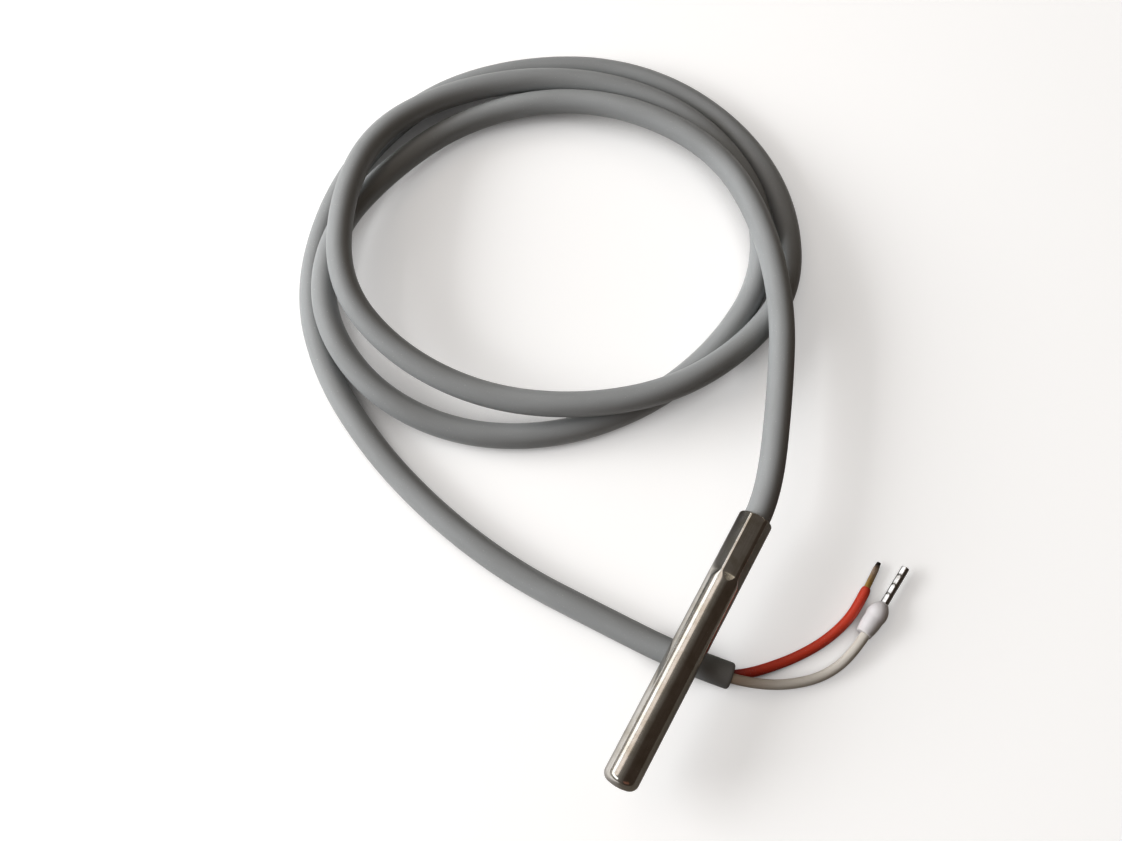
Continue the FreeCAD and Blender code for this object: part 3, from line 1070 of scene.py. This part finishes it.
@dataclass
class Sheath:
    """Closed steel tube with a domed tip and six flats crimped on the cable."""

    radius: float = 3.0 * MM
    wall: float = 0.5 * MM
    tip_wall: float = 0.7 * MM
    corner: float = 1.6 * MM
    dome: float = 7.0 * MM
    crimp_length: float = 12.85 * MM
    ramp: float = 1.5 * MM
    presses: tuple[float, ...] = (0.28, 0.25, 0.32, 0.3, 0.3, 0.3)
    crown: float = 0.012 * MM
    ramp_crown: float = 0.03 * MM
    crown_half: float = 26.0
    roll: float = 0.35 * MM
    roll_in: float = 0.3 * MM
    roll_bow: float = 0.07 * MM
    grip: float = 2.35 * MM
    grip_flat: float = 2.2 * MM
    grip_edge: float = 0.03 * MM
    flat_edge: float = 0.008 * MM
    ramp_edge: float = 0.02 * MM

    def columns(self) -> Array:
        """Angles round the tube, closer together at the flats' edges."""
        near = np.array([-1.9, -1.1, -0.6, -0.3, -0.12, 0.0, 0.12, 0.3, 0.6, 1.2, 2.4])
        angles = []
        for facing, press in zip(CRIMP_FACINGS, self.presses):
            meet = math.degrees(math.acos(1.0 - press * MM / self.radius))
            half = np.concatenate([np.arange(0.0, meet - 2.5, 2.0), meet + near])
            angles.append(facing + np.concatenate([-half[:0:-1], half]))
        return np.radians(np.concatenate(angles))

    def tip(self, radius: float, corner: float, dome: float) -> Array:
        """Profile of a domed end: a dome arc from the axis, then the corner arc.

        Args:
            radius: Radius of the tube.
            corner: Radius of the corner arc.
            dome: Radius of the dome arc.

        Returns:
            The (radius, station) points as rows.
        """
        drop = math.sqrt((dome - corner) ** 2 - (radius - corner) ** 2)
        lean = math.degrees(math.atan2(radius - corner, drop))
        cap = quarter((0.0, drop), dome, 0.0, lean, 14)
        bend = quarter((radius - corner, 0.0), corner, lean, 90.0, 18)[1:]
        return np.concatenate([cap, bend])

    def mesh(self) -> Piece:
        """Builds the whole tube, outside and inside, from one profile.

        Outside, the radius is the least of the round one and flat / cos(angle), with a
        soft edge and a shallow crown across each flat. The flat's distance falls from
        above the round wall to the full press over the ramp. Inside, the rear takes the
        form of the gripped cable.

        Returns:
            The sheath.
        """
        start = REAR_Y - self.crimp_length
        ramp_from, ramp_to = start - self.ramp, start + self.ramp
        wall = np.concatenate([
            np.linspace(0.0, ramp_from, 16)[1:],
            np.linspace(ramp_from, ramp_to, 34)[1:],
            np.linspace(ramp_to, REAR_Y - self.roll, 14)[1:],
        ])
        shell = np.column_stack([np.full(len(wall), self.radius), wall])
        rim = (self.radius - self.roll_in, REAR_Y)
        rolled = bow((self.radius, REAR_Y - self.roll), rim, self.roll_bow, 9)[1:]
        outer = np.concatenate([self.tip(self.radius, self.corner, self.dome), shell, rolled])
        inner_radius = self.radius - self.wall
        back = np.array([(self.grip, REAR_Y), (self.grip, start), (inner_radius, start)])
        bore = self.tip(inner_radius, self.corner - self.wall, self.dome - self.tip_wall)[::-1]
        profile = np.concatenate([outer, back, bore])

        angles = self.columns()
        off, number = nearest_flat(angles)
        press = np.array(self.presses)[number] * MM
        station = profile[:, 1]
        ahead_of_ramp = (station < ramp_from)[:, None]
        on_ramp = (station < ramp_to)[:, None]
        reach = np.clip((station - ramp_from) / (2 * self.ramp), 0.0, 1.0)
        flat = self.radius + press[None, :] * (1.0 - 2.0 * reach[:, None])
        flat = np.where(ahead_of_ramp, NO_FLAT * self.radius, flat)
        crown = np.where(on_ramp, self.ramp_crown, self.crown)
        crown = crown * (1.0 - (np.tan(off) / math.tan(math.radians(self.crown_half))) ** 2)
        flats = flat / np.cos(off)[None, :] + crown
        round_wall = np.broadcast_to(profile[:, :1], flats.shape)
        edge = np.where(on_ramp, self.ramp_edge, self.flat_edge)
        outside = np.where(ahead_of_ramp, round_wall, soft_least(round_wall, flats, edge))
        gripped = np.full(len(angles), self.grip)
        grip = soft_least(gripped, self.grip_flat / np.cos(off), self.grip_edge)
        row = np.arange(len(profile))
        is_outer = (row < len(outer))[:, None]
        is_grip = ((row >= len(outer)) & (row < len(outer) + 2))[:, None]
        radii = np.where(is_outer, outside, np.where(is_grip, grip[None, :], round_wall))
        line = Line.straight((ORIGIN, BACK), station)
        return skin("steel_sheath", [(line, radii)], angles)


# Pieces that stay inside


PAIRED = {
    "wire_inside": Slot.STRANDS,
    "splice": Slot.TINNED,
    "splice_sleeve": Slot.SLEEVE,
    "lead": Slot.TINNED,
}
INSIDE = {
    "red_core_inside": Slot.RED,
    "white_core_inside": Slot.WHITE,
    **{f"{core}_{name}": slot for name, slot in PAIRED.items() for core in ("red", "white")},
    "element_chip": Slot.CERAMIC,
    "element_bead": Slot.BEAD,
    "liner_tube": Slot.SLEEVE,
    "tip_filling": Slot.COMPOUND,
}


def dress_inside(solids: dict[str, Piece], paints: Paints) -> None:
    """Gives the element, the joints and the liner, kept as their solids, their finishes.

    Args:
        solids: The frame's solids by their nodes' names.
        paints: The part's materials.
    """
    for name, slot in INSIDE.items():
        materials = solids[name].data.materials
        materials.clear()
        materials.append(paints.made[slot])
        log.info("solid %s keeps its shape, finish %s", name, slot.value)


# Studio


@dataclass(frozen=True)
class Pane:
    """One soft light: where it stands, how large and how bright it is."""

    name: str
    toward: Place
    width: float
    height: float
    power: float
    colour: Colour = WHITE
    distance: float = 0.8
    mirrored: bool = True


@dataclass
class Studio:
    """Pale floor, windows and low sky on the left, two faint warm lights and a dim room."""

    centre: Place = (-0.035, 0.05, 0.0)
    floor_half: float = 3.0
    floor_paint: Colour = (0.7, 0.7, 0.7)
    floor_warm: Colour = (0.13, 0.115, 0.095)
    floor_glow: float = 0.43
    # Painted shade: ambient occlusion dims the floor's glow near the cable, down to this glow in
    # the narrow gaps between turns.
    painted_shade_glow: float = 0.03
    painted_shade_reach: float = 9.0 * MM
    painted_shade_range: Pair = (0.25, 0.6)
    # Painted reflection: the floor as mirrored in the steel is paler left of the sheath and darker
    # to its right.
    painted_reflection_range: Pair = (2.0 * MM, -20.0 * MM)
    painted_reflection_least: float = 0.03
    room_range: Pair = (0.35, -0.95)
    room_right: Colour = (0.048, 0.035, 0.026)
    room_left: Colour = (0.38, 0.36, 0.33)
    panes: tuple[Pane, ...] = (
        Pane("window_low", (-0.86, 0.02, 0.5), 1.15, 0.27, 1.85),
        Pane("window_high", (-0.55, 0.08, 0.81), 1.0, 0.33, 1.0, (1.0, 0.88, 0.8)),
        Pane("cream_wall", (0.35, 0.57, 0.76), 0.3, 0.2, 0.17, (1.0, 0.9, 0.72)),
        Pane("window_side", (-0.46, -0.73, 0.5), 0.5, 0.27, 0.8),
        Pane("brown_wood", (0.58, -0.68, 0.42), 0.45, 0.3, 0.07, (1.0, 0.42, 0.3)),
        Pane("low_sky", (-0.82, -0.36, 0.36), 0.7, 0.42, 12.0, distance=1.0, mirrored=False),
    )

    def light(self, pane: Pane) -> None:
        """Adds an area light that faces the object.

        Args:
            pane: The light's place, size, power and colour.
        """
        data = bpy.data.lights.new(pane.name, "AREA")
        data.shape, data.size, data.size_y = "RECTANGLE", pane.width, pane.height
        data.energy, data.color = pane.power, pane.colour
        lamp = linked(pane.name, data)
        back = Vector(pane.toward).normalized()
        across = Vector(UP).cross(back).normalized()
        turn = Matrix((across, back.cross(across), back)).transposed().to_4x4()
        lamp.matrix_world = Matrix.Translation(Vector(self.centre) + back * pane.distance) @ turn
        lamp.visible_camera = False
        lamp.visible_glossy = pane.mirrored

    def floor_shader(self) -> bpy.types.Material:
        """Makes the floor's paint: white to the camera, and warm and dark to other light.

        The white glows a little, so the floor is white where nothing shades it. Ambient occlusion
        dims that glow near the cable, a painted shade that makes the narrow gaps between turns
        dark. Mirrored in the object, the floor carries a painted reflection: white on the left and
        darker to the right, by its place across.

        Returns:
            The material.
        """
        shader = Shader("floor_paint")
        shader.tree.nodes.remove(shader.surface)
        rays = shader.add("ShaderNodeLightPath").outputs
        seen = shader.maths("MAXIMUM", rays["Is Camera Ray"], rays["Is Transmission Ray"])
        # Painted reflection: to glossy rays the floor's paint and glow grow paler towards the left,
        # by its place across.
        across = shader.part(shader.spot(), 0)
        painted_reflection_share = shader.ranged(across, *self.painted_reflection_range, self.painted_reflection_least)
        mirrored = shader.maths("MULTIPLY", rays["Is Glossy Ray"], painted_reflection_share)
        share = shader.maths("MAXIMUM", seen, mirrored)
        paint = shader.blended(share, self.floor_warm, self.floor_paint)
        lit = shader.add("ShaderNodeBsdfDiffuse", {"Color": paint})
        # Painted shade: the glow falls where ambient occlusion finds the cable close, so gaps
        # between turns go dark.
        reach = {"Distance": self.painted_shade_reach}
        open_sky = shader.add("ShaderNodeAmbientOcclusion", reach, samples=16).outputs["AO"]
        bare = shader.ranged(open_sky, *self.painted_shade_range, self.painted_shade_glow, self.floor_glow)
        strength = shader.maths("MULTIPLY", share, bare)
        glow = shader.add("ShaderNodeEmission", {"Color": rgba(WHITE), "Strength": strength})
        both = shader.add("ShaderNodeAddShader", {0: lit.outputs[0], 1: glow.outputs[0]})
        shader.put(shader.tree.nodes["Material Output"].inputs["Surface"], both.outputs[0])
        return shader.material

    def floor(self) -> None:
        """Makes the floor on the plane that the cable lies on."""
        half = self.floor_half
        corners = [(x * half, y * half, TABLE_Z) for x, y in ((-1, -1), (1, -1), (1, 1), (-1, 1))]
        mesh = bpy.data.meshes.new("floor")
        mesh.from_pydata(corners, [], [(0, 1, 2, 3)])
        mesh.materials.append(self.floor_shader())
        floor = linked("floor", mesh)

    def world(self) -> None:
        """Sets a dim warm room, paler on the left, that the camera sees as white."""
        world = bpy.data.worlds.new("room")
        bpy.context.scene.world = world
        world.use_nodes = True
        nodes = Nodes(world.node_tree)
        across = nodes.part(nodes.add("ShaderNodeTexCoord").outputs["Generated"], 0)
        left = nodes.ranged(across, *self.room_range)
        tone = nodes.blended(left, self.room_right, self.room_left)
        seen = nodes.add("ShaderNodeLightPath").outputs["Is Camera Ray"]
        back = nodes.tree.nodes["Background"].inputs
        nodes.put(back["Color"], nodes.blended(seen, tone, WHITE))
        nodes.put(back["Strength"], 1.0)

    def make(self) -> None:
        """Makes the floor, the lights and the room."""
        self.floor()
        for pane in self.panes:
            self.light(pane)
        self.world()
        bpy.context.scene.view_settings.view_transform = "Standard"
        log.info("studio: %s lights", len(self.panes))


def main() -> None:
    """Builds the probe piece by piece."""
    logging.basicConfig(level=logging.INFO, format="%(message)s")
    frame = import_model()
    View().make()
    paints = Paints()

    cable = Cable()
    jacket, path = cable.mesh()
    paints.dress(jacket, Slot.JACKET, "cable_jacket")
    red = Core(
        "red_insulation", Slot.RED, "red_core", RED_ROUTE, 1,
        shoulder=1.1 * MM, shoulder_depth=0.33 * MM,
    )
    white = Core("white_insulation", Slot.WHITE, "white_core", WHITE_ROUTE, -1)
    red_piece, red_path = red.mesh(cable)
    paints.dress(red_piece, red.slot, red.node)
    white_piece, white_path = white.mesh(cable)
    paints.dress(white_piece, white.slot, white.node)

    ends = Strands("bare_strands", 5.0 * MM, 0.54 * MM, 0.36 * MM, bead=0.42 * MM)
    bare = paints.dress(ends.mesh(red.end(cable)), Slot.STRANDS, "red_wire_end")
    white_end = white.end(cable)
    ferrule = Ferrule()
    collar = paints.dress(ferrule.collar(white_end), Slot.COLLAR, "ferrule_collar")
    pin = paints.dress(ferrule.tube(white_end), Slot.TINNED, "ferrule_tube")
    filling = Strands("ferrule_strands", 11.3 * MM, taper=0.2 * MM, tip_radius=0.46 * MM, rows=90)
    inner = paints.dress(filling.mesh(white_end), Slot.STRANDS, "ferrule_wire")

    cable.control()[0]
    red.control(cable)[0]
    white.control(cable)[0]

    paints.dress(Sheath().mesh(), Slot.STEEL, "sheath")
    dress_inside(frame["nodes"], paints)
    Studio().make()


if __name__ == "__main__":
    main()
